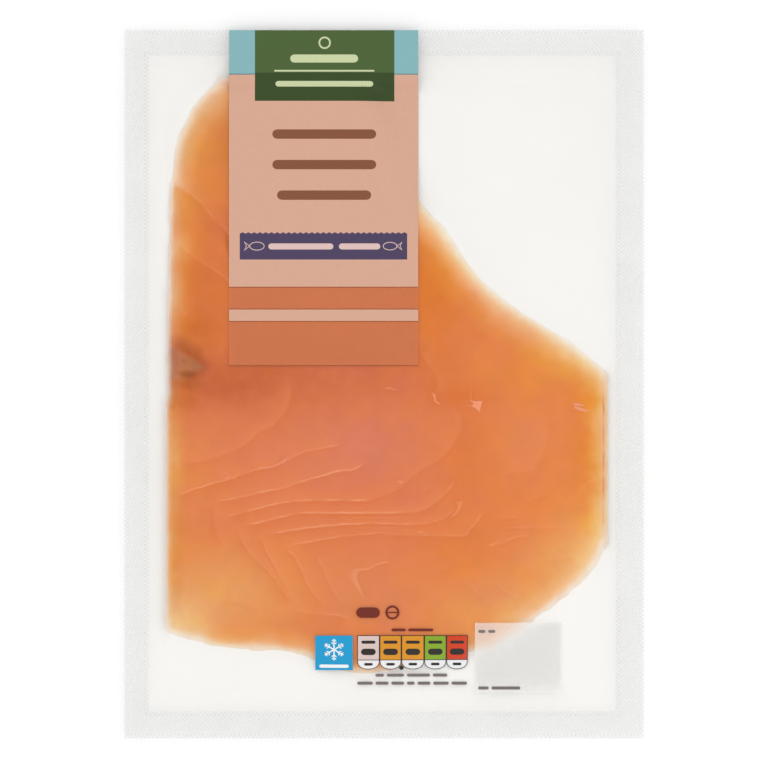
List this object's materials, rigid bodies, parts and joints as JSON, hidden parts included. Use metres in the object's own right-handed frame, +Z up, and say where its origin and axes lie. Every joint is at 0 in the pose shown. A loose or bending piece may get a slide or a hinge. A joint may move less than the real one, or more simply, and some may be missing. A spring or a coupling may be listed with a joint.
{
  "type": "pack of smoked salmon",
  "caption": "Flat clear-film sealed pack of smoked salmon slices with a textured seal rim, a shallow rounded pocket and a printed label strip, lying face up.",
  "frame": {"origin": "bottom centre of the bounding box, on the underside of the pocket", "axes": "+X towards the right side of the pack, +Y towards its head, where the label starts, +Z up out of its face"},
  "size_m": [0.155, 0.2116, 0.004],
  "materials": {
    "clear_film": "glossy clear flexible film with a knurled seal band",
    "smoked_salmon": "moist oily fish flesh with pale fat lines",
    "label_print": "opaque and part-clear ink printed on the upper film"
  },
  "bodies": {
    "root": {"sealed_pack": "clear_film"}
  },
  "joints": []
}
